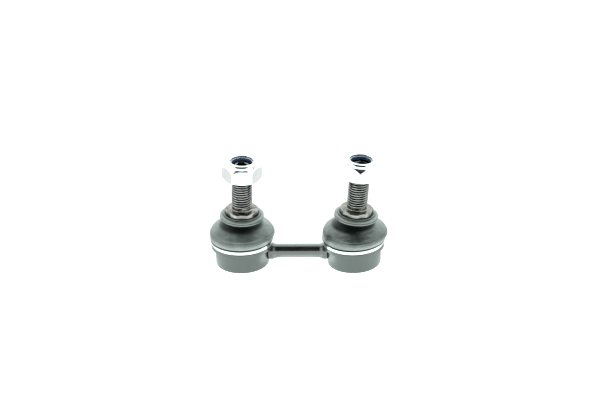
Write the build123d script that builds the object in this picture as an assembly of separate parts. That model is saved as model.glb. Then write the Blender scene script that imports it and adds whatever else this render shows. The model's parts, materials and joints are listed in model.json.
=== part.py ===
"""Stabiliser drop link: a short rod with a ball joint, a threaded stud and a lock nut at each end.

Millimetres, +Z up. The origin is on the floor midway between the two cups, with +X along the rod.
The link stands on the flat bottoms of its two cups, and both studs point up.
"""

import os
from math import atan2, cos, radians, sin, sqrt, tan

from build123d import *

os.makedirs("parts", exist_ok=True)

# Link
centre_distance = 55.0        # between the two ball centres
rod_radius = 3.5
rod_height = 6.05             # rod axis above the cup bottoms
rod_end_radius = 4.2          # upset ends of the rod
rod_end_length = 1.1          # full-size part of each upset end
rod_end_taper = 1.8           # runs from the rod to its upset end
rod_end_edge = 0.6            # rounding round the upset end
weld_gap = 0.5                # rod end to cup wall, filled by the weld
weld_radius = 3.8

# Ball and seat
ball_radius = 7.95
ball_clearance = 0.05
ball_flat_radius = 2.4        # flat under the ball
seat_wall = 2.75              # plastic beside the ball's middle
seat_floor = 1.2              # plastic under the ball
seat_play = 0.05              # seat to cup, closing ring to cup
seat_corner = 0.9             # chamfer round the seat's bottom
seat_corner_play = 0.1        # the cup's own chamfer is smaller
seat_grip = 3.1               # how far the seat wraps above the ball's centre
seat_mouth_rise = 0.8         # flared mouth above the grip
seat_mouth_flare = 0.65
seat_collar_wall = 0.75       # plastic round the mouth, inside the closing ring
seat_slits = 4
seat_slit_width = 0.9

# Closing ring
closing_ring_thickness = 1.05
closing_ring_play = 0.15      # bore to the seat's collar

# Housing cup, with heights above or below the ball's centre
cup_wall = 2.45
cup_floor = 2.0
cup_bottom_edge = 1.0         # rounding of the bottom edge
cup_lip_above = 0.2           # top of the lip
cup_lip_thickness = 1.8
cup_lip_overhang = 1.8        # lip beyond the cup's wall
cup_lip_edge = 0.25           # chamfers of the lip
cup_flare_height = 1.0        # cone from the wall out to the lip
cup_neck_wall = 1.6
cup_rim_above = 3.4           # underside of the rolled rim
cup_rim_thickness = 1.0
cup_rim_edge = 0.6            # chamfer round the rolled rim
cup_rim_play = 0.65           # rim to the seat's collar
coin_radius = 9.0             # shallow coined recess under the cup
coin_depth = 0.25

# Boot clamp ring, a channel on the lip that holds the boot's foot
clamp_wall = 0.8
clamp_edge = 0.2              # chamfers of the edges that show
clamp_proud = 0.05            # beyond the lip
clamp_outer_height = 2.2
clamp_inner_height = 3.0
clamp_play = 0.05             # on the cup's neck

# Boot
boot_wall = 1.2
boot_play = 0.1               # foot in its channel, collar on the stud
boot_gap = 0.15               # foot above the channel, collar under the flange
boot_foot_inset = 0.1         # foot within the clamp ring
boot_belly_proud = 0.9        # widest ring beyond the clamp ring
boot_belly_rise = 2.9         # widest ring above the clamp ring's outer wall
boot_crease_proud = 0.5       # crease between skirt and dome, beyond the clamp ring
boot_crease_rise = 4.2
boot_neck_radius = 7.9
boot_collar_radius = 10.45
boot_collar_height = 2.4
boot_bead_height = 0.7        # the collar's bead
boot_bead_edge = 0.2          # chamfer under the bead

# Rings of the boot's wall, from its foot to its belly, on to its crease and on to its neck: share of
# the way there in radius and in height, share of the stud's lean, and share of the belly's sideways set
skirt_rings = (
    (0.0, 0.0, 0.0, 0.0),
    (0.4, 0.35, 0.0, 0.5),
    (0.9, 0.75, 0.0, 1.0),
    (1.0, 1.0, 0.0, 1.0),
)
crease_rings = (
    (1.0, 1.0, 0.0, 1.0),
)
dome_rings = (
    (0.06, 0.14, 0.1, 0.95),
    (0.21, 0.28, 0.3, 0.8),
    (0.48, 0.41, 0.6, 0.5),
    (0.79, 0.49, 0.9, 0.2),
    (0.98, 0.62, 1.0, 0.0),
    (1.0, 1.0, 1.0, 0.0),
)

# Neck ring, a flat spring ring in a groove of the collar
neck_ring_radius = 8.65       # its bore
neck_ring_thickness = 0.6
neck_ring_width = 0.9
neck_ring_drop = 0.4          # below the collar's top
neck_ring_play = 0.05

# Ball stud, heights above the ball's centre
stud_neck_radius = 4.35
stud_neck_length = 1.8        # straight part above the ball
stud_land_radius = 5.5        # carries the boot's collar
stud_land_height = 12.6
stud_neck_blend = 2.0         # roundings where the neck widens
flange_bottom = 16.3
flange_thickness = 2.2
flange_flats = 15.6
flange_corner_radius = 8.15
flange_edge = 0.45            # chamfer round the flange's top
flange_edge_angle = 30.0
shank_step = 0.25             # shank below the thread's crests
shank_fillet = 0.45
shank_length = 1.3
thread_radius = 5.0           # M10 x 1.25 over its crests
stud_length = 42.1            # ball centre to the end face
stud_end_chamfer = 1.0
key_flats = 5.0
key_depth = 4.0
key_point_angle = 59.0        # half the drill point's angle

# Lock nut
nut_flats = 17.0
nut_hex_height = 7.3
nut_height = 9.6
nut_chamfer_inset = 0.4       # bearing faces within the flats
nut_chamfer_angle = 30.0
nut_crown_inset = 0.7         # crown within the flats
nut_crown_wall = 1.2
nut_crown_roll = 0.9
nut_mouth_play = 0.7          # mouth to the thread's crests
nut_mouth_thickness = 0.5
nut_mouth_edge = 0.3
nut_thread_play = 0.05        # plain bore to the thread's crests
nut_countersink = 0.5
insert_height = 2.2
insert_edge = 0.45            # chamfer round its bore
insert_play = 0.05

# As photographed: how each stud leans, how far its nut is screwed on, and how each hex is turned.
# lean_x is towards +X and lean_y towards +Y. A turn is about the stud, from square to the front.
# belly_x is how far the boot's belly sits towards +X of the cup.
sides = {
    "left": dict(
        way=-1,
        lean_x=2.25,
        lean_y=0.0,
        belly_x=0.25,
        flange_turn=4.0,
        key_turn=10.0,
        nut_up=34.75,
        nut_turn=4.0,
    ),
    "right": dict(
        way=1,
        lean_x=5.75,
        lean_y=1.0,
        belly_x=0.75,
        flange_turn=21.0,
        key_turn=35.0,
        nut_up=35.15,
        nut_turn=31.0,
    ),
}

# Sizes that follow, with heights above the floor
seat_radius = ball_radius + ball_clearance
ball_height = cup_floor + seat_floor + seat_radius
grip_radius = sqrt(seat_radius**2 - seat_grip**2)
seat_mouth_radius = grip_radius + seat_mouth_flare
seat_collar_radius = seat_mouth_radius + seat_collar_wall
seat_outer_radius = seat_radius + seat_wall
seat_top = ball_height + seat_grip + seat_mouth_rise
cup_bore = seat_outer_radius + seat_play
cup_corner = seat_corner - seat_corner_play
cup_radius = cup_bore + cup_wall
cup_neck_radius = cup_bore + cup_neck_wall
cup_lip_radius = cup_radius + cup_lip_overhang
cup_lip_top = ball_height + cup_lip_above
cup_lip_bottom = cup_lip_top - cup_lip_thickness
cup_rim_bottom = ball_height + cup_rim_above
cup_rim_top = cup_rim_bottom + cup_rim_thickness
seat_shoulder = cup_rim_bottom - closing_ring_thickness
clamp_radius = cup_lip_radius + clamp_proud
clamp_bore = cup_neck_radius + clamp_play
clamp_outer_top = cup_lip_top + clamp_outer_height
clamp_inner_top = cup_lip_top + clamp_inner_height
boot_foot_radius = clamp_radius - boot_foot_inset
boot_foot_bottom = clamp_outer_top + boot_gap
boot_belly_radius = clamp_radius + boot_belly_proud
boot_belly_height = clamp_outer_top + boot_belly_rise
boot_crease_radius = clamp_radius + boot_crease_proud
boot_crease_height = clamp_outer_top + boot_crease_rise
boot_foot_bore = clamp_bore + clamp_wall + boot_play
boot_foot_top = clamp_inner_top + boot_play

# Sizes that follow, with heights above the ball's centre
flange_top = flange_bottom + flange_thickness
thread_start = flange_top + shank_length
shank_radius = thread_radius - shank_step
collar_top = flange_bottom - boot_gap
collar_bottom = collar_top - boot_collar_height
collar_bore = stud_land_radius + boot_play
neck_ring_top = collar_top - neck_ring_drop
neck_ring_bottom = neck_ring_top - neck_ring_width

# Sizes of the nut that follow
nut_bore = thread_radius + nut_thread_play
nut_mouth_radius = thread_radius + nut_mouth_play
nut_face_radius = nut_flats / 2 - nut_chamfer_inset
nut_crown_radius = nut_flats / 2 - nut_crown_inset
nut_pocket_radius = nut_crown_radius - nut_crown_wall
nut_pocket_top = nut_height - nut_mouth_thickness
nut_pocket_bottom = nut_pocket_top - insert_height

far = 100.0                   # longer than any piece, for cutting tools


def turned(*corners):
    """A solid of revolution about Z. Each corner is (radius, height) or (radius, height, rounding)."""
    points = [corner[:2] for corner in corners]
    roundings = [corner[2] if len(corner) > 2 else 0 for corner in corners]
    outline = FilletPolyline(*points, radius=roundings, close=True)
    return revolve(Plane.XZ * make_face(outline), Axis.Z)


def disc(radius, bottom, top):
    """A plain cylinder about Z between two heights."""
    return Pos(0, 0, bottom) * extrude(Circle(radius), top - bottom)


def hexagon(flats, bottom, top, turn):
    """A hexagonal prism about Z whose first flat faces -Y and is then turned towards +X."""
    outline = RegularPolygon(flats / 2, 6, major_radius=False, rotation=turn)
    return Pos(0, 0, bottom) * extrude(outline, top - bottom)


def on_cup(way):
    """Where a cup's own frame stands: on the floor, under its ball."""
    return Pos(way * centre_distance / 2, 0, 0)


def leaned(side, share=1.0):
    """A share of the stud's lean about the ball's centre, in the cup's own frame."""
    about_y = Rot(0, share * side["lean_x"], 0)
    about_x = Rot(-share * side["lean_y"], 0, 0)
    return Pos(0, 0, ball_height) * about_y * about_x


def cup_outside():
    """The cup filled in: flat bottom, flared lip, and a neck with a bevelled rim."""
    return turned(
        (0, 0),
        (cup_radius, 0, cup_bottom_edge),
        (cup_radius, cup_lip_bottom - cup_flare_height),
        (cup_lip_radius, cup_lip_bottom),
        (cup_lip_radius, cup_lip_top - cup_lip_edge),
        (cup_lip_radius - cup_lip_edge, cup_lip_top),
        (cup_neck_radius, cup_lip_top),
        (cup_neck_radius, cup_rim_top - cup_rim_edge),
        (cup_neck_radius - cup_rim_edge, cup_rim_top),
        (0, cup_rim_top),
    )


def housing_cup():
    """Forged cup, bored for the seat, with its rim rolled in over the closing ring."""
    cavity = turned(
        (0, cup_floor),
        (cup_bore - cup_corner, cup_floor),
        (cup_bore, cup_floor + cup_corner),
        (cup_bore, cup_rim_bottom),
        (seat_collar_radius + cup_rim_play, cup_rim_bottom),
        (seat_collar_radius + cup_rim_play, cup_rim_top),
        (0, cup_rim_top),
    )
    recess = turned((0, 0), (coin_radius, 0), (coin_radius - coin_depth, coin_depth), (0, coin_depth))
    return cup_outside() - cavity - recess


def link_rod():
    """The rod, upset at both ends, with saddle-shaped ends that follow the cup walls."""
    reach = centre_distance / 2
    end_start = reach - cup_radius - weld_gap - rod_end_length
    bar = turned(
        (0, -reach),
        (rod_end_radius, -reach),
        (rod_end_radius, -end_start, rod_end_edge),
        (rod_radius, rod_end_taper - end_start),
        (rod_radius, end_start - rod_end_taper),
        (rod_end_radius, end_start, rod_end_edge),
        (rod_end_radius, reach),
        (0, reach),
    )
    bar = Pos(0, 0, rod_height) * Rot(0, 90, 0) * bar
    for way in (-1, 1):
        bar -= on_cup(way) * (disc(cup_radius + weld_gap, -far, far) + cup_outside())
    return bar


def weld(way):
    """The weld between a rod end and its cup: a short plug with both faces following the cup."""
    reach = way * centre_distance / 2
    plug = Pos(0, 0, rod_height) * Rot(0, 90, 0) * disc(weld_radius, 0, reach)
    around = disc(cup_radius + weld_gap, -far, far) - disc(cup_radius, -far, far) - cup_outside()
    return plug & on_cup(way) * around


def ball_seat():
    """Plastic seat: wraps past the ball's middle, with slits so that the ball could be pressed in."""
    body = turned(
        (0, cup_floor),
        (seat_outer_radius - seat_corner, cup_floor),
        (seat_outer_radius, cup_floor + seat_corner),
        (seat_outer_radius, seat_shoulder),
        (seat_collar_radius, seat_shoulder),
        (seat_collar_radius, seat_top),
        (0, seat_top),
    )
    mouth = turned(
        (0, ball_height),
        (grip_radius, ball_height),
        (grip_radius, ball_height + seat_grip),
        (seat_mouth_radius, seat_top),
        (0, seat_top),
    )
    centre = Pos(0, 0, ball_height)
    seat = body - centre * Sphere(seat_radius) - mouth
    slit = centre * Box(far, seat_slit_width, far, align=(Align.MIN, Align.CENTER, Align.MIN))
    for number in range(seat_slits):
        seat -= Rot(0, 0, (number + 0.5) * 360 / seat_slits) * slit
    return seat


def closing_ring():
    """Flat steel ring between the seat's shoulder and the cup's rolled rim."""
    ring = disc(seat_outer_radius, seat_shoulder, cup_rim_bottom)
    return ring - disc(seat_collar_radius + closing_ring_play, 0, far)


def boot_clamp_ring():
    """Pressed steel channel on the cup's lip: its inner wall grips the neck, its outer wall shows."""
    return turned(
        (clamp_bore, cup_lip_top),
        (clamp_radius - clamp_edge, cup_lip_top),
        (clamp_radius, cup_lip_top + clamp_edge),
        (clamp_radius, clamp_outer_top - clamp_edge),
        (clamp_radius - clamp_edge, clamp_outer_top),
        (clamp_radius - clamp_wall, clamp_outer_top),
        (clamp_radius - clamp_wall, cup_lip_top + clamp_wall),
        (clamp_bore + clamp_wall, cup_lip_top + clamp_wall),
        (clamp_bore + clamp_wall, clamp_inner_top),
        (clamp_bore, clamp_inner_top),
    )


def boot_rings():
    """Rings of the boot's outer wall, from foot to neck: radius, height, lean and sideways shares."""
    named = (
        (boot_foot_radius, boot_foot_bottom),
        (boot_belly_radius, boot_belly_height),
        (boot_crease_radius, boot_crease_height),
        (boot_neck_radius, ball_height + collar_bottom),
    )
    rings = []
    for start, end, stretch in zip(named, named[1:], (skirt_rings, crease_rings, dome_rings)):
        for radius_share, height_share, lean_share, aside_share in stretch:
            radius = start[0] + radius_share * (end[0] - start[0])
            height = start[1] + height_share * (end[1] - start[1])
            rings.append((radius, height, lean_share, aside_share))
    return rings


def moved_in(rings, wall):
    """The same rings moved inwards by a wall, square to the line between their two neighbours.

    The first and the last ring keep their height.
    """
    inner = [(rings[0][0] - wall, *rings[0][1:])]
    for low, ring, high in zip(rings, rings[1:], rings[2:]):
        facing = atan2(low[0] - high[0], high[1] - low[1])
        inner.append((ring[0] - wall * cos(facing), ring[1] - wall * sin(facing), *ring[2:]))
    return inner + [(rings[-1][0] - wall, *rings[-1][1:])]


def lofted(side, rings):
    """A filled-in boot through its rings, each leaned and set sideways by its share."""
    circles = []
    for radius, height, lean_share, aside_share in rings:
        aside = Pos(aside_share * side["belly_x"], 0, 0)
        level = Pos(0, 0, height - ball_height)
        circles.append(aside * leaned(side, lean_share) * level * Circle(radius))
    return loft(circles, ruled=True)


def boot_collar():
    """Beaded collar with a groove for the neck ring, in the stud's own frame."""
    bead_top = collar_bottom + boot_bead_height
    groove_top = neck_ring_top + neck_ring_play
    groove_bottom = neck_ring_bottom - neck_ring_play
    groove_floor = neck_ring_radius - neck_ring_play
    lip_radius = neck_ring_radius + neck_ring_thickness / 2
    return turned(
        (collar_bore, collar_bottom),
        (boot_collar_radius - boot_bead_edge, collar_bottom),
        (boot_collar_radius, collar_bottom + boot_bead_edge),
        (boot_collar_radius, bead_top),
        (neck_ring_radius + neck_ring_thickness, groove_bottom),
        (groove_floor, groove_bottom),
        (groove_floor, groove_top),
        (lip_radius, groove_top),
        (lip_radius, collar_top),
        (collar_bore, collar_top),
    )


def boot(side):
    """Rubber boot: its foot stays in the channel and its collar follows the stud's lean."""
    bead_radius = clamp_radius - clamp_wall - boot_play
    bead_bottom = cup_lip_top + clamp_wall + boot_play
    wall_rings = boot_rings()
    inner_rings = moved_in(wall_rings, boot_wall)[len(skirt_rings) - 1 :]
    outer = disc(bead_radius, bead_bottom, boot_foot_bottom) + lofted(side, wall_rings)
    inner = lofted(side, [(boot_foot_bore, boot_foot_top, 0, 0)] + inner_rings)
    foot_bore = disc(boot_foot_bore, bead_bottom, boot_foot_top)
    return outer - foot_bore - inner + leaned(side) * boot_collar()


def neck_ring():
    """Flat spring ring that grips the boot's collar, in the stud's own frame."""
    ring = disc(neck_ring_radius + neck_ring_thickness, neck_ring_bottom, neck_ring_top)
    return ring - disc(neck_ring_radius, 0, far)


def ball_stud(side):
    """Ball, neck, boot land, hex flange, shank, thread and hexagon socket, in the stud's own frame."""
    ball_bottom = sqrt(ball_radius**2 - ball_flat_radius**2)
    ball = Sphere(ball_radius) - disc(ball_radius, -far, -ball_bottom)
    neck_bottom = sqrt(ball_radius**2 - stud_neck_radius**2)
    neck = turned(
        (0, 0),
        (stud_neck_radius, 0),
        (stud_neck_radius, neck_bottom + stud_neck_length, stud_neck_blend),
        (stud_land_radius, stud_land_height, stud_neck_blend),
        (stud_land_radius, flange_bottom),
        (0, flange_bottom),
    )
    edge_drop = flange_edge * tan(radians(flange_edge_angle))
    rounded_hex = turned(
        (0, flange_bottom),
        (flange_corner_radius, flange_bottom),
        (flange_corner_radius, flange_top - edge_drop),
        (flange_corner_radius - flange_edge, flange_top),
        (0, flange_top),
    ) & hexagon(flange_flats, flange_bottom, flange_top, side["flange_turn"])
    shank_foot = shank_radius + shank_fillet
    shaft = turned(
        (0, flange_bottom),
        (shank_foot, flange_bottom),
        (shank_foot, flange_top),
        (shank_radius, flange_top + shank_fillet),
        (shank_radius, thread_start),
        (thread_radius, thread_start + shank_step),
        (thread_radius, stud_length - stud_end_chamfer),
        (thread_radius - stud_end_chamfer, stud_length),
        (0, stud_length),
    )
    key_bottom = stud_length - key_depth
    key = hexagon(key_flats, key_bottom, stud_length + 1, side["key_turn"])
    key_point = turned(
        (0, key_bottom - key_flats / 2 / tan(radians(key_point_angle))),
        (key_flats / 2, key_bottom),
        (0, key_bottom),
    )
    return ball + neck + rounded_hex + shaft - key - key_point


def lock_nut(side):
    """Hex nut with a rolled crown: chamfered hex, countersunk bore and a pocket for the insert."""
    corner = nut_flats / sqrt(3)
    drop = (corner - nut_face_radius) * tan(radians(nut_chamfer_angle))
    envelope = turned(
        (0, 0),
        (nut_face_radius, 0),
        (corner, drop),
        (corner, nut_hex_height - drop),
        (nut_face_radius, nut_hex_height),
        (nut_crown_radius, nut_hex_height),
        (nut_crown_radius, nut_height, nut_crown_roll),
        (0, nut_height),
    )
    crown_room = disc(nut_face_radius, 0, nut_height)
    hollow = turned(
        (0, 0),
        (nut_bore + nut_countersink, 0),
        (nut_bore, nut_countersink),
        (nut_bore, nut_pocket_bottom),
        (nut_pocket_radius, nut_pocket_bottom),
        (nut_pocket_radius, nut_pocket_top),
        (nut_mouth_radius, nut_pocket_top),
        (nut_mouth_radius, nut_height - nut_mouth_edge / 2),
        (nut_mouth_radius + nut_mouth_edge, nut_height),
        (0, nut_height),
    )
    return envelope & (hexagon(nut_flats, 0, nut_hex_height, side["nut_turn"]) + crown_room) - hollow


def nut_insert():
    """Nylon ring in the nut's pocket, in the nut's own frame."""
    bottom = nut_pocket_bottom + insert_play
    top = nut_pocket_top - insert_play
    outer = nut_pocket_radius - insert_play
    edge = min(insert_edge, (outer - nut_bore) / 2)
    return turned(
        (nut_bore, bottom),
        (outer, bottom),
        (outer, top),
        (nut_bore + edge, top),
        (nut_bore, top - edge),
    )


def write(name, shape):
    """Writes one sub-part to its own file."""
    export_step(shape, f"parts/{name}.step")


write("link_rod", link_rod())
for name, side in sides.items():
    cup_frame = on_cup(side["way"])
    stud_frame = cup_frame * leaned(side)
    nut_frame = stud_frame * Pos(0, 0, side["nut_up"])
    write(f"{name}_weld", weld(side["way"]))
    write(f"{name}_housing_cup", cup_frame * housing_cup())
    write(f"{name}_ball_seat", cup_frame * ball_seat())
    write(f"{name}_closing_ring", cup_frame * closing_ring())
    write(f"{name}_boot_clamp_ring", cup_frame * boot_clamp_ring())
    write(f"{name}_boot", cup_frame * boot(side))
    write(f"{name}_boot_neck_ring", stud_frame * neck_ring())
    write(f"{name}_ball_stud", stud_frame * ball_stud(side))
    write(f"{name}_lock_nut", nut_frame * lock_nut(side))
    write(f"{name}_nut_insert", nut_frame * nut_insert())
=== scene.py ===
"""Looks for the stabiliser drop link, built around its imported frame. Metres, same frame as the CAD."""

import json
import math

import bmesh
import bpy
from mathutils import Matrix, Vector, noise


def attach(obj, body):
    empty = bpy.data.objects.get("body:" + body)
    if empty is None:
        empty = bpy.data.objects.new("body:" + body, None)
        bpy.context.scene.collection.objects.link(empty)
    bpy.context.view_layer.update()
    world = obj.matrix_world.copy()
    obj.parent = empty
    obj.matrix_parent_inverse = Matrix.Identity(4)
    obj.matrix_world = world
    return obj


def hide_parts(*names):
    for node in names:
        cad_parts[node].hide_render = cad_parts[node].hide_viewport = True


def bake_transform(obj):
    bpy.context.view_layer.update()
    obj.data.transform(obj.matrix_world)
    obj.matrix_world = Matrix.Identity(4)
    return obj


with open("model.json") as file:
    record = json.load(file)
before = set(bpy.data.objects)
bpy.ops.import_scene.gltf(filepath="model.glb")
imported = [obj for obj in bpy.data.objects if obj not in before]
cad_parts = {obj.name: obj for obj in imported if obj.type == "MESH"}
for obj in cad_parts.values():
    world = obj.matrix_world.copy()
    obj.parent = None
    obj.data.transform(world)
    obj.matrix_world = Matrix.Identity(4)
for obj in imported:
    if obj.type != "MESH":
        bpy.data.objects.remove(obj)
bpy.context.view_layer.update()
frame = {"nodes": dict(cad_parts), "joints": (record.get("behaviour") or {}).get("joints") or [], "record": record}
nodes = frame["nodes"]
joints = {joint["name"]: joint for joint in frame["joints"]}
mounts = {mount["name"]: mount for mount in frame["record"]["mounts"]}
MM = 0.001
SIDES = ("left", "right")

# Camera, from the fit to the photograph
CAMERA_ELEVATION = math.radians(26.9)
CAMERA_YAW = math.radians(3.77)
CAMERA_ROLL = math.radians(-1.92)
CAMERA_DISTANCE = 1.2
CAMERA_ASIDE = 0.773 * MM
CAMERA_ABOVE = 30.34 * MM
CAMERA_LENS = 145.9


def make_camera():
    """Camera where the photograph was taken from, aimed a little off the origin."""
    back = Vector((
        math.sin(CAMERA_YAW) * math.cos(CAMERA_ELEVATION),
        -math.cos(CAMERA_YAW) * math.cos(CAMERA_ELEVATION),
        math.sin(CAMERA_ELEVATION),
    ))
    level = Vector((math.cos(CAMERA_YAW), math.sin(CAMERA_YAW), 0))
    rise = back.cross(level)
    right = math.cos(CAMERA_ROLL) * level + math.sin(CAMERA_ROLL) * rise
    up = -math.sin(CAMERA_ROLL) * level + math.cos(CAMERA_ROLL) * rise
    data = bpy.data.cameras.new("camera")
    data.lens = CAMERA_LENS
    data.sensor_width = 36
    data.clip_start = 0.01
    data.clip_end = 50
    camera = bpy.data.objects.new("camera", data)
    place = back * CAMERA_DISTANCE + right * CAMERA_ASIDE + up * CAMERA_ABOVE
    camera.matrix_world = Matrix.Translation(place) @ Matrix((right, up, back)).transposed().to_4x4()
    bpy.context.scene.collection.objects.link(camera)
    bpy.context.scene.camera = camera


make_camera()


class Shader:
    """A material's node tree, with short calls for the nodes this script uses."""

    def __init__(self, name):
        self.material = bpy.data.materials.new(name)
        self.material.use_nodes = True
        self.tree = self.material.node_tree
        self.surface = self.tree.nodes["Principled BSDF"]

    def node(self, kind, **settings):
        made = self.tree.nodes.new(kind)
        for key, value in settings.items():
            setattr(made, key, value)
        return made

    def link(self, output, target):
        self.tree.links.new(output, target)

    def fixed(self, **values):
        for key, value in values.items():
            self.surface.inputs[key.replace("_", " ")].default_value = value

    def noise(self, scale, detail=4.0, roughness=0.55, stretch=(1, 1, 1)):
        place = self.node("ShaderNodeTexCoord")
        mapping = self.node("ShaderNodeMapping")
        mapping.inputs["Scale"].default_value = stretch
        texture = self.node("ShaderNodeTexNoise")
        texture.inputs["Scale"].default_value = scale
        texture.inputs["Detail"].default_value = detail
        texture.inputs["Roughness"].default_value = roughness
        self.link(place.outputs["Object"], mapping.inputs["Vector"])
        self.link(mapping.outputs["Vector"], texture.inputs["Vector"])
        return texture.outputs["Fac"]

    def ramp(self, factor, *stops):
        made = self.node("ShaderNodeValToRGB")
        elements = made.color_ramp.elements
        while len(elements) < len(stops):
            elements.new(0.5)
        for element, (position, colour) in zip(elements, stops):
            element.position = position
            element.color = colour if len(colour) == 4 else (*colour, 1)
        self.link(factor, made.inputs["Fac"])
        return made.outputs["Color"]

    def grey_range(self, factor, low, high):
        made = self.node("ShaderNodeMapRange")
        made.inputs["To Min"].default_value = low
        made.inputs["To Max"].default_value = high
        self.link(factor, made.inputs["Value"])
        return made.outputs["Result"]

    def painted(self, name):
        """A value from 0 to 1 that a piece's mesh carries, such as where it is sheltered."""
        return self.node("ShaderNodeAttribute", attribute_name=name).outputs["Fac"]

    def mixed(self, factor, first, second):
        """One colour turning into another; each is a socket or a fixed colour."""
        made = self.node("ShaderNodeMixRGB")
        self.link(factor, made.inputs["Fac"])
        for socket, colour in ((made.inputs["Color1"], first), (made.inputs["Color2"], second)):
            if isinstance(colour, tuple):
                socket.default_value = (*colour, 1)
            else:
                self.link(colour, socket)
        return made.outputs["Color"]

    def bump(self, height, distance, strength=1.0, before=None):
        made = self.node("ShaderNodeBump")
        made.inputs["Distance"].default_value = distance
        made.inputs["Strength"].default_value = strength
        self.link(height, made.inputs["Height"])
        if before is not None:
            self.link(before, made.inputs["Normal"])
        return made.outputs["Normal"]


def coat_material(name="black_coat", shine=1.72, tint=(1.0, 1.0, 1.0)):
    """Glossy black coat with faint orange peel and a little dust."""
    s = Shader(name)
    dust = s.noise(70, 5, 0.6)
    colour = s.ramp(dust, (0.4, (0.004, 0.005, 0.005)), (0.75, (0.012, 0.014, 0.013)))
    s.link(colour, s.surface.inputs["Base Color"])
    s.link(s.grey_range(dust, 0.16, 0.3), s.surface.inputs["Roughness"])
    s.link(s.bump(s.noise(500, 3), 0.00003, 0.15), s.surface.inputs["Normal"])
    s.fixed(Metallic=0.0, IOR=shine, Specular_Tint=(*tint, 1))
    return s.material


def zinc_material():
    """Bright zinc plate, brushed very finely, with slightly duller patches."""
    s = Shader("zinc_plate")
    patches = s.noise(140)
    colour = s.ramp(patches, (0.3, (0.60, 0.60, 0.61)), (0.75, (0.69, 0.685, 0.69)))
    s.link(colour, s.surface.inputs["Base Color"])
    s.link(s.grey_range(s.noise(420), 0.08, 0.17), s.surface.inputs["Roughness"])
    s.link(s.bump(s.noise(1500, 2), 0.00002, 0.2), s.surface.inputs["Normal"])
    s.fixed(Metallic=1.0)
    return s.material


def stud_material():
    """Oiled steel: grey with brown stains, lighter where a highlight is painted and near black where shade is
    painted, in the thread and on its end.
    """
    s = Shader("stud_steel")
    stains = s.noise(330, 6, 0.6)
    metal = s.ramp(
        stains,
        (0.34, (0.080, 0.067, 0.056)),
        (0.5, (0.150, 0.134, 0.124)),
        (0.7, (0.235, 0.214, 0.208)),
    )
    highlight_colour = s.ramp(stains, (0.3, (0.14, 0.127, 0.126)), (0.6, (0.31, 0.287, 0.292)))
    # Painted highlight: lighter steel on the flange's sides, the thread's crests and the end face
    painted_highlight = s.mixed(s.painted("painted_highlight"), metal, highlight_colour)
    # Painted shade: near black in the thread's roots and on the end chamfer
    s.link(s.mixed(s.painted("stud_shade"), painted_highlight, (0.004, 0.0037, 0.0036)), s.surface.inputs["Base Color"])
    s.link(s.grey_range(s.noise(900), 0.14, 0.3), s.surface.inputs["Roughness"])
    s.link(s.bump(s.noise(1400, 5), 0.00003, 0.4), s.surface.inputs["Normal"])
    s.fixed(Metallic=1.0, Specular_Tint=(0.6, 0.57, 0.58, 1))
    return s.material


def spring_steel_material():
    """Dark, plain steel of the rings that grip the boot and hold the seat."""
    s = Shader("plain_steel")
    colour = s.ramp(s.noise(300), (0.3, (0.045, 0.047, 0.047)), (0.8, (0.08, 0.083, 0.083)))
    s.link(colour, s.surface.inputs["Base Color"])
    s.link(s.grey_range(s.noise(600), 0.25, 0.4), s.surface.inputs["Roughness"])
    s.fixed(Metallic=1.0)
    return s.material


def rubber_material():
    """Dark rubber with fine wrinkles and pale dust, most of it on the skirt, where a painted reflection of the
    floor adds to it, and painted shade, near black and hardly shiny, under the collar and above the clamp ring.
    """
    s = Shader("boot_rubber")
    dust = s.noise(150, 6, 0.62)
    smears = s.noise(60, 3, 0.5, stretch=(1, 1, 2.4))
    dusty = s.ramp(
        dust,
        (0.40, (0.004, 0.0045, 0.0045)),
        (0.52, (0.035, 0.039, 0.0375)),
        (0.66, (0.10, 0.105, 0.102)),
    )
    dusty = s.mixed(s.grey_range(smears, -0.2, 0.9), dusty, (0.014, 0.0175, 0.017))
    # Pale dust; on the skirt it also stands for a painted reflection of the floor
    with_dust_and_reflection = s.mixed(s.painted("dust_and_reflection"), dusty, (0.235, 0.235, 0.23))
    # Painted shade: near black and hardly shiny
    painted_shade = s.painted("painted_shade")
    s.link(s.mixed(painted_shade, with_dust_and_reflection, (0.003, 0.0035, 0.0035)), s.surface.inputs["Base Color"])
    s.link(s.grey_range(dust, 0.12, 0.56), s.surface.inputs["Roughness"])
    s.link(s.grey_range(painted_shade, 0.5, 0.08), s.surface.inputs["Specular IOR Level"])
    wrinkles = s.bump(s.noise(420, 5, 0.6), 0.00018, 0.35)
    s.link(s.bump(s.noise(1500, 4), 0.00004, 0.4, wrinkles), s.surface.inputs["Normal"])
    s.fixed(Metallic=0.0, IOR=1.55, Specular_Tint=(1.0, 0.965, 0.975, 1))
    return s.material


def nylon_material():
    """Navy nylon, smooth from the mould, with a painted highlight as a pale rim round its bore."""
    s = Shader("insert_plastic")
    colour = s.ramp(s.noise(500), (0.3, (0.026, 0.043, 0.098)), (0.8, (0.042, 0.07, 0.155)))
    s.link(s.mixed(s.painted("rim"), colour, (0.5, 0.54, 0.62)), s.surface.inputs["Base Color"])
    s.link(s.grey_range(s.noise(600), 0.1, 0.18), s.surface.inputs["Roughness"])
    s.link(s.bump(s.noise(900, 3), 0.00002, 0.2), s.surface.inputs["Normal"])
    s.fixed(Metallic=0.0, IOR=1.75)
    return s.material


def seat_material():
    """Pale plastic of the ball's seat."""
    s = Shader("seat_plastic")
    colour = s.ramp(s.noise(200), (0.3, (0.62, 0.60, 0.55)), (0.8, (0.70, 0.69, 0.64)))
    s.link(colour, s.surface.inputs["Base Color"])
    s.link(s.grey_range(s.noise(400), 0.35, 0.5), s.surface.inputs["Roughness"])
    s.fixed(Metallic=0.0)
    return s.material


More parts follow.
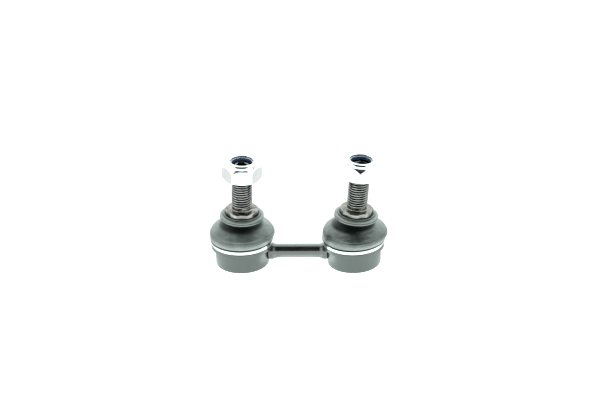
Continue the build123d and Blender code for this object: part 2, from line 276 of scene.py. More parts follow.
def shaded_weld_material():
    """Weld metal with scaly bumps, near black and mirroring hardly anything: painted shade in the gap between the
    rod's ends and the cups.
    """
    s = Shader("shaded_weld")
    scale = s.ramp(s.noise(600), (0.3, (0.002, 0.002, 0.002)), (0.8, (0.01, 0.01, 0.01)))
    s.link(scale, s.surface.inputs["Base Color"])
    s.link(s.bump(s.noise(900, 4), 0.0001, 0.6), s.surface.inputs["Normal"])
    s.fixed(Roughness=0.6, IOR=1.25)
    return s.material


materials = {
    "black_coat": coat_material(),
    "zinc_plate": zinc_material(),
    "stud_steel": stud_material(),
    "plain_steel": spring_steel_material(),
    "boot_rubber": rubber_material(),
    "insert_plastic": nylon_material(),
    "seat_plastic": seat_material(),
    "rod_coat": coat_material("rod_coat", 1.85, (1.0, 0.95, 0.965)),
    "shaded_weld": shaded_weld_material(),
}

# Pieces whose look differs a little from their slot's
# The welds wear near black as painted shade of the gap at the rod's ends
SPECIAL_COATS = {"link_rod": "rod_coat", "left_weld": "shaded_weld", "right_weld": "shaded_weld"}


def wear(piece, material):
    """Gives a CAD piece one of the materials in place of its own."""
    piece.data.materials.clear()
    piece.data.materials.append(materials[material])


for subpart in frame["record"]["subparts"]:
    node = subpart["node"]
    wear(nodes[node], SPECIAL_COATS.get(node, subpart["material_slot"]))


# Degrees between the columns of a turned piece, and the chamfers' drop per millimetre outwards
TURN_STEP = 2
HEX_SLOPE = math.tan(math.radians(30))

# Sizes in millimetres, with heights above the ball's centre. They are the CAD's, except that the nut's top
# and its insert's follow the photograph more closely, and that the boot's neck clears the swung stud.
BALL_RADIUS = 7.95
BALL_FLAT_RADIUS = 2.4
NECK_RADIUS = 4.35
NECK_ROUND = 1.2
NECK_ROUND_HEIGHT = 7.75
LAND_RADIUS = 5.5
FLANGE_BOTTOM = 16.3
FLANGE_TOP = 18.5
FLANGE_FLATS = 15.6
FLANGE_CORNER = 8.15
FLANGE_EDGE = 0.45
SHANK_RADIUS = 4.75
SHANK_FILLET = 0.45
THREAD_START = 19.8
THREAD_RADIUS = 5.0
THREAD_PITCH = 1.25
THREAD_DEPTH = 0.6134 * THREAD_PITCH
THREAD_RUN_IN = 1.1
THREAD_START_SLOPE = 0.8
THREAD_END_CHAMFER = 1.0
THREAD_COLUMNS = 96
STUD_TOP = 42.1
KEY_FLATS = 5.0
KEY_DEPTH = 4.0
KEY_EDGE = (0.28, 0.22)
KEY_POINT = 1.4

# Nut and insert, with heights above the nut's lower face
NUT_FLATS = 17.0
NUT_HEX = 7.3
NUT_HEIGHT = 9.6
NUT_FACE = 8.1
NUT_SHOULDER = 8.66
NUT_TOP_SLOPE = 1.35
NUT_CROWN = 7.7
NUT_CROWN_ROLL = 1.4
NUT_MOUTH = 5.7
NUT_MOUTH_ROLL = 0.3
NUT_BORE = THREAD_RADIUS + 0.05
NUT_POCKET = 6.6
NUT_POCKET_TOP = 9.1
NUT_POCKET_BOTTOM = 6.9
INSERT_PLAY = 0.05
INSERT_TOP = 8.65
INSERT_RIM = 5.6
INSERT_EDGE = 0.3
INSERT_ROUND = 0.12
INSERT_STEP = 3

# Rod, with its height above the floor
ROD_RADIUS = 3.5
ROD_HEIGHT = 6.05
ROD_END_RADIUS = 4.2
ROD_END_LENGTH = 1.1
ROD_END_TAPER = 1.8
CUP_RADIUS = 13.25
WELD_GAP = 0.5
ROD_STEP = 5

# The stud's painted light: how strong the painted highlight on the sides of each flange is and from which
# radius, how bright the thread's crests are painted and how fast that ends with its depth, how fast painted
# shade sets in with it and where that starts, and the stretch at the thread's end painted dark as shade
FLANGE_HIGHLIGHT = {"left": 0.65, "right": 0.45}
FLANGE_INSIDE = 7.5
CREST_HIGHLIGHT = (0.9, 3)
ROOT_SHADE = (4.2, 0.02)
SHADED_END_LENGTH = 1.3
SHADED_END_DEPTH = 1.65

# How each side's hexagons are turned about the stud, in degrees
TURNS = {
    "left": {"flange": 4, "key": 10, "nut": 4},
    "right": {"flange": 21, "key": 35, "nut": 31},
}

# In metres: vertices of a piece that lie closer than this are one, and no edge is shorter than this
SAME_PLACE = 2e-7
LEAST_EDGE = 1e-7


def ball_centre(side):
    return Vector(joints[f"{side}_stud_spin"]["pos_m"])


def stud_frame(side, up=0.0):
    """The stud's own frame in millimetres: its origin at the ball's centre or a height above it."""
    z = Vector(joints[f"{side}_stud_spin"]["axis"]).normalized()
    x = Vector((z.z, 0, -z.x)).normalized()
    y = z.cross(x)
    turn = Matrix((x, y, z)).transposed().to_4x4()
    place = Matrix.Translation(ball_centre(side)) @ turn @ Matrix.Scale(MM, 4)
    return place @ Matrix.Translation((0, 0, up))


def nut_up(side):
    """Height of the nut's lower face above the ball's centre, from its mount."""
    axis = Vector(joints[f"{side}_stud_spin"]["axis"]).normalized()
    return (Vector(mounts[f"{side}_nut_face"]["pos_m"]) - ball_centre(side)).dot(axis) / MM


def make_piece(name, mesh, slot, smooth_degrees=35, coat=None):
    """Turns a bmesh into a piece with its slot's material or a special coat, smooth up to an angle."""
    bmesh.ops.remove_doubles(mesh, verts=mesh.verts, dist=SAME_PLACE)
    bmesh.ops.dissolve_degenerate(mesh, edges=mesh.edges, dist=LEAST_EDGE)
    bmesh.ops.recalc_face_normals(mesh, faces=mesh.faces)
    data = bpy.data.meshes.new(name)
    mesh.to_mesh(data)
    mesh.free()
    piece = bpy.data.objects.new(name, data)
    bpy.context.scene.collection.objects.link(piece)
    data.materials.append(materials[coat or slot])
    data.shade_smooth()
    data.set_sharp_from_angle(angle=math.radians(smooth_degrees))
    return piece


def paint(piece, name, value_at):
    """Stores a value from 0 to 1 at each vertex, worked out from its place."""
    values = piece.data.attributes.new(name, "FLOAT", "POINT")
    for number, vertex in enumerate(piece.data.vertices):
        values.data[number].value = min(max(value_at(vertex.co), 0.0), 1.0)


def columns_mesh(columns, matrix, helix=None):
    """A skin through columns of points that go once round the axis.

    helix is (first row, number of rows, rows per pitch) of rows that climb a pitch in one turn, so that
    the last column meets the first one that many rows further on. Their ends lie on one level.
    """
    mesh = bmesh.new()
    grid = [[mesh.verts.new(matrix @ Vector(point)) for point in column] for column in columns]
    rows = list(range(len(columns[0])))
    shifted = list(rows)
    if helix:
        first, number, pitch_rows = helix
        for row in range(first, first + number):
            shifted[row] = min(row + pitch_rows, first + number - 1)
    for number, column in enumerate(grid):
        last = number == len(grid) - 1
        following = grid[0 if last else number + 1]
        across = shifted if last else rows
        for row in rows[:-1]:
            corners = [column[row], following[across[row]], following[across[row + 1]], column[row + 1]]
            corners = list(dict.fromkeys(corners))
            if len(corners) > 2:
                mesh.faces.new(corners)
    return mesh


def hex_reach(angle, flats):
    """Distance from the axis to a hexagon's side in a direction; a flat's middle is at -90 degrees."""
    from_flat = (angle + math.pi / 2 + math.pi / 6) % (math.pi / 3) - math.pi / 6
    return flats / 2 / math.cos(from_flat)


def polar(radius, angle, height):
    return (radius * math.cos(angle), radius * math.sin(angle), height)


def arc(centre_r, centre_z, radius, start, stop, steps):
    """Points (radius, height) of an arc in a profile, between two angles in degrees."""
    points = []
    for step in range(steps + 1):
        angle = math.radians(start + (stop - start) * step / steps)
        points.append((centre_r + radius * math.cos(angle), centre_z + radius * math.sin(angle)))
    return points


def make_stud_base(side):
    """Ball, neck, boot land and hexagonal flange, whose sides have rows of their own to stay flat."""
    turn = math.radians(TURNS[side]["flange"])
    ball_start = -math.degrees(math.acos(BALL_FLAT_RADIUS / BALL_RADIUS))
    ball_stop = math.degrees(math.acos(NECK_RADIUS / BALL_RADIUS))
    below = [(0, -BALL_RADIUS * math.sin(math.radians(-ball_start)))]
    below += arc(0, 0, BALL_RADIUS, ball_start, ball_stop - 4, 36)
    below += arc(NECK_RADIUS + NECK_ROUND, NECK_ROUND_HEIGHT, NECK_ROUND, 215, 180, 5)
    below += [(NECK_RADIUS, 8.7), (NECK_RADIUS + 0.06, 9.3), (NECK_RADIUS + 0.28, 10.2)]
    below += [(LAND_RADIUS - 0.42, 11.5), (LAND_RADIUS - 0.1, 12.3)]
    below += [(LAND_RADIUS, 12.9), (LAND_RADIUS, FLANGE_BOTTOM)]
    columns = []
    for number in range(360 // TURN_STEP):
        angle = math.radians(TURN_STEP * number) + turn
        reach = min(FLANGE_CORNER, hex_reach(angle - turn, FLANGE_FLATS))
        flat_reach = min(reach, FLANGE_CORNER - FLANGE_EDGE)
        drop = max(0.0, reach - flat_reach) * HEX_SLOPE + 0.06
        points = [polar(r, angle, z) for r, z in below]
        points += [
            polar(reach - 0.3, angle, FLANGE_BOTTOM),
            polar(reach - 0.08, angle, FLANGE_BOTTOM + 0.06),
            polar(reach, angle, FLANGE_BOTTOM + 0.2),
            polar(reach, angle, FLANGE_BOTTOM + 0.3),
            polar(reach, angle, FLANGE_TOP - drop - 0.18),
            polar(reach, angle, FLANGE_TOP - drop - 0.08),
            polar(reach - 0.05, angle, FLANGE_TOP - drop),
            polar(flat_reach - 0.02, angle, FLANGE_TOP - 0.02),
            polar(flat_reach - 0.2, angle, FLANGE_TOP),
            polar(SHANK_RADIUS - 0.4, angle, FLANGE_TOP),
            (0, 0, FLANGE_TOP),
        ]
        columns.append(points)
    piece = make_piece(f"{side}_stud_base", columns_mesh(columns, stud_frame(side)), "stud_steel", 28)
    back = stud_frame(side).inverted()

    # Painted highlight on the flange's flat sides
    def on_flat(point):
        local = back @ point
        outside = math.hypot(local.x, local.y) > FLANGE_INSIDE
        flat = outside and FLANGE_BOTTOM + 0.1 < local.z < FLANGE_TOP - 0.05
        return FLANGE_HIGHLIGHT[side] if flat else 0.0

    paint(piece, "painted_highlight", on_flat)
    return piece


# One pitch of the thread: share of the pitch and share of its depth
THREAD_ROWS = ((0.0, 0.1), (0.06, 0.0), (0.24, 0.0), (0.3, 0.1), (0.58, 0.95), (0.65, 1.0), (0.72, 0.95))


def thread_depth(share):
    """Share of the thread's depth at a share of its pitch."""
    share %= 1.0
    rows = THREAD_ROWS + ((1.0, THREAD_ROWS[0][1]),)
    for (start, low), (stop, high) in zip(rows, rows[1:]):
        if share <= stop:
            return low + (high - low) * (share - start) / (stop - start)
    return rows[-1][1]


def make_stud_thread(side):
    """Shank, rolled thread, chamfered end and hexagon socket."""
    key_turn = math.radians(TURNS[side]["key"])
    turns = int((STUD_TOP - THREAD_START) / THREAD_PITCH) + 4
    root = FLANGE_TOP - 0.3
    below = [(SHANK_RADIUS + SHANK_FILLET, root)]
    below += arc(SHANK_RADIUS + SHANK_FILLET, FLANGE_TOP + SHANK_FILLET, SHANK_FILLET, 270, 180, 5)
    columns = []
    for number in range(THREAD_COLUMNS):
        share = number / THREAD_COLUMNS
        angle = 2 * math.pi * share + key_turn
        points = [(0, 0, root)] + [polar(r, angle, z) for r, z in below]
        for turn in range(turns):
            for along, _ in THREAD_ROWS:
                raw = THREAD_START + (turn - 2 + along + share) * THREAD_PITCH
                z = min(max(raw, THREAD_START), STUD_TOP)
                deep = thread_depth((z - THREAD_START) / THREAD_PITCH - share)
                start = min(1.0, (z - THREAD_START) / THREAD_RUN_IN)
                crest = min(THREAD_RADIUS, SHANK_RADIUS + THREAD_START_SLOPE * (z - THREAD_START))
                radius = crest - THREAD_DEPTH * deep * start * start * (3 - 2 * start)
                radius = min(radius, THREAD_RADIUS - THREAD_END_CHAMFER + STUD_TOP - z)
                points.append(polar(radius, angle, z))
        socket = hex_reach(angle - key_turn, KEY_FLATS)
        points += [
            polar(THREAD_RADIUS - 1.3, angle, STUD_TOP),
            polar(THREAD_RADIUS - 1.6, angle, STUD_TOP),
            polar(THREAD_RADIUS - 1.7, angle, STUD_TOP),
            polar(socket + KEY_EDGE[0], angle, STUD_TOP),
            polar(socket, angle, STUD_TOP - KEY_EDGE[1]),
            polar(socket, angle, STUD_TOP - KEY_DEPTH),
            (0, 0, STUD_TOP - KEY_DEPTH - KEY_POINT),
        ]
        columns.append(points)
    helix = (1 + len(below), turns * len(THREAD_ROWS), len(THREAD_ROWS))
    place = stud_frame(side)
    piece = make_piece(f"{side}_stud_thread", columns_mesh(columns, place, helix), "stud_steel", 28)
    back = place.inverted()

    def depth(point):
        """Share of the thread's depth at a vertex, and 0 on the shank and the end face."""
        local = back @ point
        if not THREAD_START + 0.5 < local.z < STUD_TOP - 0.2:
            return 0.0
        return (THREAD_RADIUS - math.hypot(local.x, local.y)) / THREAD_DEPTH

    # Painted shade: near black on the end chamfer, and darker the deeper into the thread
    def stud_shade(point):
        local = back @ point
        outside = math.hypot(local.x, local.y) > THREAD_RADIUS - SHADED_END_DEPTH
        if local.z > STUD_TOP - SHADED_END_LENGTH and outside:
            return 1.0
        return ROOT_SHADE[0] * depth(point) - ROOT_SHADE[1]

    # Painted highlight: full on the end face, and on the thread's crests, fading with depth
    def painted_highlight(point):
        if (back @ point).z > STUD_TOP - 0.2:
            return 1.0
        return 0.0 if depth(point) == 0.0 else CREST_HIGHLIGHT[0] - CREST_HIGHLIGHT[1] * depth(point)

    paint(piece, "stud_shade", stud_shade)
    paint(piece, "painted_highlight", painted_highlight)
    return piece


def make_nut(side):
    """Hexagon with chamfered ends, a rolled crown and a pocket for the insert."""
    turn = math.radians(TURNS[side]["nut"])
    columns = []
    for number in range(360 // TURN_STEP):
        angle = math.radians(TURN_STEP * number) + turn
        reach = hex_reach(angle - turn, NUT_FLATS)
        drop = (reach - NUT_FACE) * HEX_SLOPE
        top_drop = NUT_TOP_SLOPE * max(0.0, reach - NUT_SHOULDER)
        shoulder = min(reach, NUT_SHOULDER)
        outline = [(NUT_BORE + 0.5, 0.0), (NUT_FACE - 0.12, 0.0), (NUT_FACE + 0.04, 0.05)]
        outline += [(reach - 0.07, drop), (reach, drop + 0.12), (reach, drop + 0.3)]
        outline += [(reach, NUT_HEX - top_drop - 0.2)]
        outline += [(reach, NUT_HEX - top_drop - 0.04), (reach - 0.02, NUT_HEX - top_drop)]
        outline += [(shoulder - 0.04, NUT_HEX), (shoulder - 0.2, NUT_HEX), (NUT_CROWN + 0.12, NUT_HEX)]
        outline += [(NUT_CROWN, NUT_HEX + 0.12)]
        outline += arc(NUT_CROWN - NUT_CROWN_ROLL, NUT_HEIGHT - NUT_CROWN_ROLL, NUT_CROWN_ROLL, 0, 90, 10)
        outline += arc(NUT_MOUTH + NUT_MOUTH_ROLL, NUT_HEIGHT - NUT_MOUTH_ROLL, NUT_MOUTH_ROLL, 90, 180, 5)
        outline += [(NUT_MOUTH, NUT_POCKET_TOP), (NUT_POCKET, NUT_POCKET_TOP)]
        outline += [(NUT_POCKET, NUT_POCKET_BOTTOM), (NUT_BORE, NUT_POCKET_BOTTOM)]
        outline += [(NUT_BORE, 0.5), (NUT_BORE + 0.5, 0.0)]
        columns.append([polar(r, angle, z) for r, z in outline])
    mesh = columns_mesh(columns, stud_frame(side, nut_up(side)))
    return make_piece(f"{side}_nut", mesh, "zinc_plate", 28)


def make_insert(side):
    """Nylon ring with a rounded bore, in the nut's pocket."""
    outer, bottom, top = NUT_POCKET - INSERT_PLAY, NUT_POCKET_BOTTOM + INSERT_PLAY, INSERT_TOP
    profile = [(NUT_BORE, bottom), (outer, bottom), (outer, top)]
    profile += [(INSERT_RIM + 0.1, top), (INSERT_RIM, top), (NUT_BORE + INSERT_EDGE, top)]
    profile += arc(NUT_BORE + INSERT_ROUND, top - INSERT_ROUND, INSERT_ROUND, 90, 180, 4)
    profile += [(NUT_BORE, bottom)]
    columns = []
    for number in range(360 // INSERT_STEP):
        angle = math.radians(INSERT_STEP * number)
        columns.append([polar(r, angle, z) for r, z in profile])
    place = stud_frame(side, nut_up(side))
    piece = make_piece(f"{side}_insert", columns_mesh(columns, place), "insert_plastic", 40)
    back = place.inverted()

    # Painted highlight on the insert's top face round the bore
    def on_rim(point):
        local = back @ point
        highlighted = local.z > INSERT_TOP - 0.02 and math.hypot(local.x, local.y) < INSERT_RIM + 0.05
        return 1.0 if highlighted else 0.0

    paint(piece, "rim", on_rim)
    return piece


# Boot's outer wall, from its foot up: radius, height above the ball's centre, share of the stud's lean and
# share of the belly's sideways set
BOOT_SKIRT = (
    (14.6, 2.46, 0.0, 0.0),
    (15.12, 2.44, 0.0, 0.0),
    (15.15, 2.0, 0.0, 0.0),
    (15.22, 1.88, 0.0, 0.0),
    (15.38, 2.0, 0.0, 0.0),
    (15.52, 2.6, 0.0, 0.1),
    (15.65, 3.3, 0.0, 0.35),
    (15.75, 4.1, 0.0, 0.7),
    (15.95, 5.0, 0.0, 1.0),
    (15.92, 5.8, 0.0, 1.0),
    (15.75, 6.3, 0.0, 1.0),
    (15.6, 6.52, 0.0, 1.0),
    (15.42, 6.6, 0.0, 1.0),
)
BOOT_DOME = (
    (15.42, 6.6, 0.0, 1.0),
    (15.42, 6.78, 0.0, 1.0),
    (15.25, 7.3, 0.05, 0.95),
    (14.75, 8.0, 0.1, 0.85),
    (13.9, 8.6, 0.15, 0.75),
    (12.7, 9.2, 0.2, 0.6),
    (11.3, 9.75, 0.3, 0.45),
)
BOOT_NECK = (
    (11.3, 9.75, 0.3, 0.45),
    (10.85, 10.05, 0.4, 0.35),
    (10.45, 10.4, 0.5, 0.25),
    (10.0, 10.85, 0.65, 0.1),
    (9.4, 11.4, 0.85, 0.0),
    (8.75, 12.1, 1.0, 0.0),
    (8.35, 13.0, 1.0, 0.0),
    (8.25, 13.75, 1.0, 0.0),
)
# Inside of the skirt and its foot, which sits in the clamp ring's channel
BOOT_INSIDE = (
    (14.3, 2.4, 0.0, 0.0),
    (14.2, 2.3, 0.0, 0.0),
    (14.2, 1.1, 0.0, 0.0),
    (13.35, 1.1, 0.0, 0.0),
    (13.35, 2.7, 0.0, 0.0),
    (14.45, 3.6, 0.0, 0.4),
    (14.9, 4.6, 0.0, 0.8),
    (15.1, 5.4, 0.0, 1.0),
    (14.95, 6.6, 0.0, 1.0),
)
BELLY_SET = {"left": 0.35, "right": 0.7}
BOOT_WALL = 0.5
BOOT_COLUMNS = 160
BOOT_ROW_STEPS = 4

# Heights given for bending the dome and the neck from one body to the next, which nothing uses
DOME_BEND = (6.6, 9.4)
NECK_BEND = (10.1, 12.2)

# Broad dents and small wrinkles in the boot's wall: their depths, how far the pattern shifts from one side
# to the other, and the heights between and near which the wall is held in shape
DENT_SHIFT = 7.3
DENT_BROAD = 0.26
DENT_FINE = 0.11
DENT_SOFTNESS = 0.05
DENT_HOLD = 0.8
CREASE_HEIGHT = 6.6
DENT_BOTTOM = 2.6
DENT_TOP = 9.9

# The boot's painted light and dust: painted shade in a line above the clamp ring and on the neck, dust and a
# painted reflection of the floor on the skirt, a left dome painted lighter in front and lower down, and a dusty
# collar. These pairs are from 0 to 1: how much there is at least and how much more.
LINE_TOP = 3.15
LINE_FADE = 0.15
SHADE_BOTTOM = 8.0
SHADE_RADIUS = 11.6
SHADE_FADE = 1.3
SKIRT_TOP = 6.4
SKIRT_DROP = 3.2
SKIRT_DUST_AND_REFLECTION = (0.1, 0.7)
DOME_RADIUS = 14
DOME_TOP = 10.5
DOME_DROP = 4
DOME_LIGHTENING = (0.08, 0.16)
COLLAR_DUST = 0.44

# Collar: radius and height above the ball's centre, from its lower face outwards and over its top
COLLAR = (
    (5.6, 13.75), (7.9, 13.72), (9.4, 13.68), (10.3, 13.62), (10.6, 13.66), (10.74, 13.8), (10.77, 14.05),
    (10.75, 14.3), (10.68, 14.44), (10.42, 14.52), (10.42, 14.7), (10.68, 14.78), (10.74, 14.9),
    (10.75, 15.1), (10.68, 15.3), (10.5, 15.46), (10.2, 15.52), (9.6, 15.58), (9.38, 15.6),
    (9.3, 15.52), (9.3, 14.8), (8.6, 14.8), (8.6, 15.8), (8.95, 15.8), (9.0, 15.95), (8.85, 16.13),
    (8.4, 16.15), (5.6, 16.15), (5.6, 13.75),
)
# Where the collar is painted with shade: its underside, the groove between its beads, the ring's groove and its
# inside
COLLAR_BOTTOM = 13.7
BEAD_GROOVE = (14.48, 14.74)
BEAD_RADIUS = 10
RING_GROOVE_RADIUS = 9.35
RING_GROOVE_TOP = 15.85
LIP_RADIUS = 8.5


def smooth_rows(rows, steps):
    """Rows of a table with more rows between them, on a smooth curve through the given ones."""
    fine = []
    for number in range(len(rows) - 1):
        before = rows[max(number - 1, 0)]
        low, high = rows[number], rows[number + 1]
        after = rows[min(number + 2, len(rows) - 1)]
        for step in range(steps):
            t = step / steps
            row = []
            for a, b, c, d in zip(before, low, high, after):
                bend = (2 * a - 5 * b + 4 * c - d) * t * t + (3 * b - a - 3 * c + d) * t**3
                row.append(b + 0.5 * ((c - a) * t + bend))
            fine.append(row)
    fine.append(list(rows[-1]))
    return fine


def boot_point(side, row, angle, inwards=0.0, facing=0.0):
    """A point of the boot's wall from a row of its table and a direction round the cup."""
    radius, height, lean_share, set_share = row
    radius -= inwards * math.cos(facing)
    height -= inwards * math.sin(facing)
    axis = Vector(joints[f"{side}_stud_spin"]["axis"]).normalized()
    lean = Vector((0, 0, 1)).rotation_difference(axis)
    turned = Matrix.Identity(3).to_quaternion().slerp(lean, min(max(lean_share, 0.0), 1.0))
    place = turned @ Vector((radius * math.cos(angle), radius * math.sin(angle), height))
    place.x += BELLY_SET[side] * set_share
    return ball_centre(side) + place * MM


def facings(rows):
    """Which way the wall faces at each row, as an angle above level."""
    found = []
    for number in range(len(rows)):
        low = rows[max(number - 1, 0)]
        high = rows[min(number + 1, len(rows) - 1)]
        found.append(math.atan2(low[0] - high[0], high[1] - low[1]))
    return found


def dent(side, height, angle):
    """How far the wall is pushed in at a place, in millimetres. It is never pushed out."""
    seed = SIDES.index(side) * DENT_SHIFT
    broad = noise.noise(Vector((math.cos(angle) * 1.6 + seed, math.sin(angle) * 1.6, height * 0.28)))
    fine = noise.noise(Vector((math.cos(angle) * 5 + seed, math.sin(angle) * 5, height * 1.1)))
    held = min(1.0, abs(height - CREASE_HEIGHT) / DENT_HOLD) * min(1.0, max(0.0, height - DENT_BOTTOM))
    held *= min(1.0, max(0.0, DENT_TOP - height) / DENT_HOLD)
    push = DENT_BROAD * broad + DENT_FINE * fine
    return 0.5 * (push + math.hypot(push, DENT_SOFTNESS)) * held


def make_boot_part(side, name, rows, inner_rows=None):
    """A ring-shaped stretch of the boot's wall, closed by its inner face."""
    fine = smooth_rows(rows, BOOT_ROW_STEPS)
    facing = facings(fine)
    columns = []
    for number in range(BOOT_COLUMNS):
        angle = 2 * math.pi * number / BOOT_COLUMNS
        outer = [
            boot_point(side, row, angle, dent(side, row[1], angle), way)
            for row, way in zip(fine, facing)
        ]
        if inner_rows:
            inner = [boot_point(side, row, angle) for row in inner_rows]
        else:
            inner = [boot_point(side, row, angle, BOOT_WALL, way) for row, way in zip(fine, facing)]
        columns.append(outer + inner[::-1] + outer[:1])
    piece = make_piece(f"{side}_{name}", columns_mesh(columns, Matrix.Identity(4)), "boot_rubber", 50)
    centre = ball_centre(side)

    # Painted shade in a line above the clamp ring and on the neck under the collar
    def shaded(point):
        local = (point - centre) / MM
        if local.z < LINE_TOP:
            return (LINE_TOP - local.z) / LINE_FADE
        if local.z > SHADE_BOTTOM:
            return (SHADE_RADIUS - math.hypot(local.x, local.y)) / SHADE_FADE
        return 0.0

    # Dust and a painted reflection of the floor on the skirt, growing towards its foot; the left dome painted
    # lighter in front and lower down
    def dust_and_reflection(point):
        height = (point.z - centre.z) / MM
        if height < SKIRT_TOP:
            least, more = SKIRT_DUST_AND_REFLECTION
            return least + more * ((SKIRT_TOP - height) / SKIRT_DROP) ** 2
        if side == "right":
            return 0.0
        least, more = DOME_LIGHTENING
        to_front = (centre.y - point.y) / (DOME_RADIUS * MM)
        return (least + more * to_front) * (DOME_TOP - height) / DOME_DROP

    paint(piece, "painted_shade", shaded)
    paint(piece, "dust_and_reflection", dust_and_reflection)
    return piece


def make_collar(side):
    """Beaded collar of the boot with the groove for the neck ring."""
    columns = []
    for number in range(360 // TURN_STEP):
        angle = math.radians(TURN_STEP * number)
        columns.append([polar(r, angle, z) for r, z in COLLAR])
    piece = make_piece(f"{side}_boot_collar", columns_mesh(columns, stud_frame(side)), "boot_rubber", 40)
    back = stud_frame(side).inverted()

    # Painted shade under the collar, inside its lip and in its two grooves
    def shaded(point):
        local = back @ point
        radius = math.hypot(local.x, local.y)
        bead_groove = BEAD_GROOVE[0] < local.z < BEAD_GROOVE[1] and radius > BEAD_RADIUS
        ring_groove = radius < RING_GROOVE_RADIUS and local.z < RING_GROOVE_TOP
        under = local.z < COLLAR_BOTTOM or radius < LIP_RADIUS
        return 1.0 if under or bead_groove or ring_groove else 0.0

    paint(piece, "painted_shade", shaded)
    paint(piece, "dust_and_reflection", lambda point: COLLAR_DUST)
    return piece


def make_rod():
    """Rod swelling softly towards its welded ends, which follow the round of the cups."""
    left, right = ball_centre("left"), ball_centre("right")
    half = (right.x - left.x) / 2 / MM
    end_start = half - CUP_RADIUS - WELD_GAP - ROD_END_LENGTH
    profile = [(0.0, ROD_RADIUS), (end_start - ROD_END_TAPER - 0.6, ROD_RADIUS)]
    for step in range(1, 13):
        rise = step / 12
        along = end_start - ROD_END_TAPER - 0.6 + (ROD_END_TAPER + 1.0) * rise
        profile.append((along, ROD_RADIUS + (ROD_END_RADIUS - ROD_RADIUS) * rise * rise * (3 - 2 * rise)))
    middle = Vector(((left.x + right.x) / 2, left.y, ROD_HEIGHT * MM))
    columns = []
    for number in range(360 // ROD_STEP):
        angle = math.radians(ROD_STEP * number)
        y, z = math.cos(angle), math.sin(angle)
        end = half - math.sqrt((CUP_RADIUS + WELD_GAP) ** 2 - (ROD_END_RADIUS * y) ** 2) + 0.02
        way = [(end, 0.0), (end, ROD_END_RADIUS)] + profile[::-1]
        column = [(x, r * y, r * z) for x, r in way] + [(-x, r * y, r * z) for x, r in way[::-1][1:]]
        columns.append([middle + Vector(point) * MM for point in column])
    return make_piece("rod", columns_mesh(columns, Matrix.Identity(4)), "black_coat", 40, "rod_coat")


def blend_boot(piece, side, first, second, low, high):
    """Bakes a stretch of the boot's placement into its mesh; it does not bend it between bodies."""
    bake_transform(piece)


rod = make_rod()
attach(rod, "link")
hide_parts("link_rod")

for side in SIDES:
    base = make_stud_base(side)
    thread = make_stud_thread(side)
    nut = make_nut(side)
    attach(base, f"{side}_stud_body")
    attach(thread, f"{side}_stud_body")
    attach(nut, f"{side}_nut_body")
    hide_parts(f"{side}_ball_stud")
    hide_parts(f"{side}_ball_stud")
    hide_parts(f"{side}_lock_nut")
    insert = make_insert(side)
    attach(insert, f"{side}_insert_body")
    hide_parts(f"{side}_nut_insert")
    skirt = make_boot_part(side, "boot_skirt", BOOT_SKIRT, BOOT_INSIDE)
    dome = make_boot_part(side, "boot_dome", BOOT_DOME)
    neck = make_boot_part(side, "boot_neck", BOOT_NECK)
    collar = make_collar(side)
    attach(skirt, "link")
    blend_boot(dome, side, "link", f"{side}_boot_body", *DOME_BEND)
    blend_boot(neck, side, f"{side}_boot_body", f"{side}_neck_ring_body", *NECK_BEND)
    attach(collar, f"{side}_neck_ring_body")
    for part in (skirt, dome, neck, collar):
        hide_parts(f"{side}_boot")


# White surround with one dark panel high in front, which the black parts mirror. The panel's edges are
# its lowest and highest elevation, counted from the front over the top, and its half width.
SURROUND_COLOUR = (0.84, 1.0, 0.94)
SURROUND_STRENGTH = 3.2
PANEL_COLOUR = (0.012, 0.015, 0.015)
PANEL_LOW = math.radians(19)
PANEL_HIGH = math.radians(103)
PANEL_HALF_WIDTH = 0.58
PANEL_EDGE = 0.12

# Light table: its glow in front of the part, under the rod and behind the part, and where one glow turns
# into the next, in metres
TABLE_HALF_SIZE = 3
TABLE_COLOUR = (0.12, 0.12, 0.12)
TABLE_BACK_COLOUR = (0.97, 1.0, 0.99)
TABLE_FRONT_GLOW = 2.8
TABLE_MIDDLE_GLOW = 5.0
TABLE_BACK_GLOW = 0.95
TABLE_FRONT_Y = (-15 * MM, -4 * MM)
TABLE_BACK_Y = (-12 * MM, 13 * MM)
TABLE_MIDDLE_X = (12 * MM, 7 * MM)


def add_node(tree, kind, **settings):
    made = tree.nodes.new(kind)
    for key, value in settings.items():
        setattr(made, key, value)
    return made


def add_fade(tree, source, start, stop):
    """Smooth rise from 0 to 1 between two values of a socket."""
    fade = add_node(tree, "ShaderNodeMapRange", interpolation_type="SMOOTHSTEP")
    fade.inputs["From Min"].default_value = start
    fade.inputs["From Max"].default_value = stop
    tree.links.new(source, fade.inputs["Value"])
    return fade.outputs["Result"]


def add_product(tree, first, second):
    product = add_node(tree, "ShaderNodeMath", operation="MULTIPLY")
    tree.links.new(first, product.inputs[0])
    tree.links.new(second, product.inputs[1])
    return product.outputs["Value"]


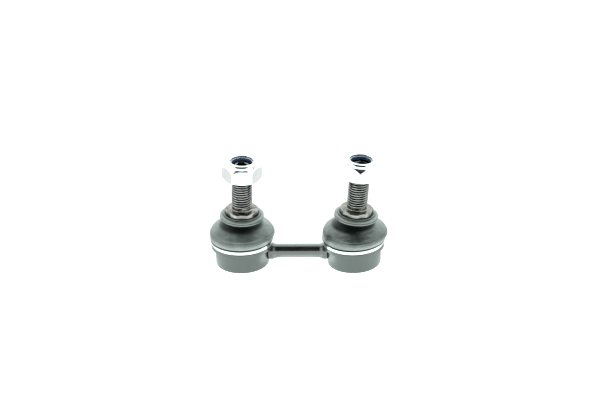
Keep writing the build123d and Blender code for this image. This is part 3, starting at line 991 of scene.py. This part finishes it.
def make_floor():
    """A light table, wide enough that the camera sees no end of it."""
    mesh = bmesh.new()
    bmesh.ops.create_grid(mesh, x_segments=1, y_segments=1, size=TABLE_HALF_SIZE)
    data = bpy.data.meshes.new("floor")
    mesh.to_mesh(data)
    mesh.free()
    floor = bpy.data.objects.new("floor", data)
    bpy.context.scene.collection.objects.link(floor)
    s = Shader("floor")
    s.surface.inputs["Base Color"].default_value = (*TABLE_COLOUR, 1)
    s.fixed(Roughness=0.9)
    place = add_node(s.tree, "ShaderNodeTexCoord").outputs["Object"]
    split = add_node(s.tree, "ShaderNodeSeparateXYZ")
    s.link(place, split.inputs["Vector"])
    aside = add_node(s.tree, "ShaderNodeMath", operation="ABSOLUTE")
    s.link(split.outputs["X"], aside.inputs[0])
    under = add_product(
        s.tree,
        add_fade(s.tree, split.outputs["Y"], *TABLE_FRONT_Y),
        add_fade(s.tree, aside.outputs["Value"], *TABLE_MIDDLE_X),
    )
    middle = s.grey_range(under, TABLE_FRONT_GLOW, TABLE_MIDDLE_GLOW)
    back = add_fade(s.tree, split.outputs["Y"], *TABLE_BACK_Y)
    s.link(s.mixed(back, SURROUND_COLOUR, TABLE_BACK_COLOUR), s.surface.inputs["Emission Color"])
    glow = s.node("ShaderNodeMapRange")
    glow.inputs["To Max"].default_value = TABLE_BACK_GLOW
    s.link(middle, glow.inputs["To Min"])
    s.link(back, glow.inputs["Value"])
    s.link(glow.outputs["Result"], s.surface.inputs["Emission Strength"])
    data.materials.append(s.material)


def make_surround():
    """White surround with the dark panel, as the world's colour by direction."""
    world = bpy.data.worlds.new("studio")
    bpy.context.scene.world = world
    world.use_nodes = True
    tree = world.node_tree
    background = tree.nodes["Background"]
    background.inputs["Strength"].default_value = SURROUND_STRENGTH
    split = add_node(tree, "ShaderNodeSeparateXYZ")
    tree.links.new(add_node(tree, "ShaderNodeTexCoord").outputs["Generated"], split.inputs["Vector"])
    front = add_node(tree, "ShaderNodeMath", operation="MULTIPLY")
    front.inputs[1].default_value = -1
    tree.links.new(split.outputs["Y"], front.inputs[0])
    elevation = add_node(tree, "ShaderNodeMath", operation="ARCTAN2")
    tree.links.new(split.outputs["Z"], elevation.inputs[0])
    tree.links.new(front.outputs["Value"], elevation.inputs[1])
    aside = add_node(tree, "ShaderNodeMath", operation="ABSOLUTE")
    tree.links.new(split.outputs["X"], aside.inputs[0])
    edge = PANEL_EDGE / 2
    low = add_fade(tree, elevation.outputs["Value"], PANEL_LOW - edge, PANEL_LOW + edge)
    high = add_fade(tree, elevation.outputs["Value"], PANEL_HIGH + edge, PANEL_HIGH - edge)
    inner, outer = PANEL_HALF_WIDTH - PANEL_EDGE, PANEL_HALF_WIDTH + PANEL_EDGE
    inside = add_fade(tree, aside.outputs["Value"], outer, inner)
    panel = add_product(tree, add_product(tree, low, high), inside)
    mix = add_node(tree, "ShaderNodeMixRGB")
    mix.inputs["Color1"].default_value = (*SURROUND_COLOUR, 1)
    mix.inputs["Color2"].default_value = (*PANEL_COLOUR, 1)
    tree.links.new(panel, mix.inputs["Fac"])
    tree.links.new(mix.outputs["Color"], background.inputs["Color"])


make_floor()
make_surround()
bpy.context.scene.view_settings.view_transform = "Standard"
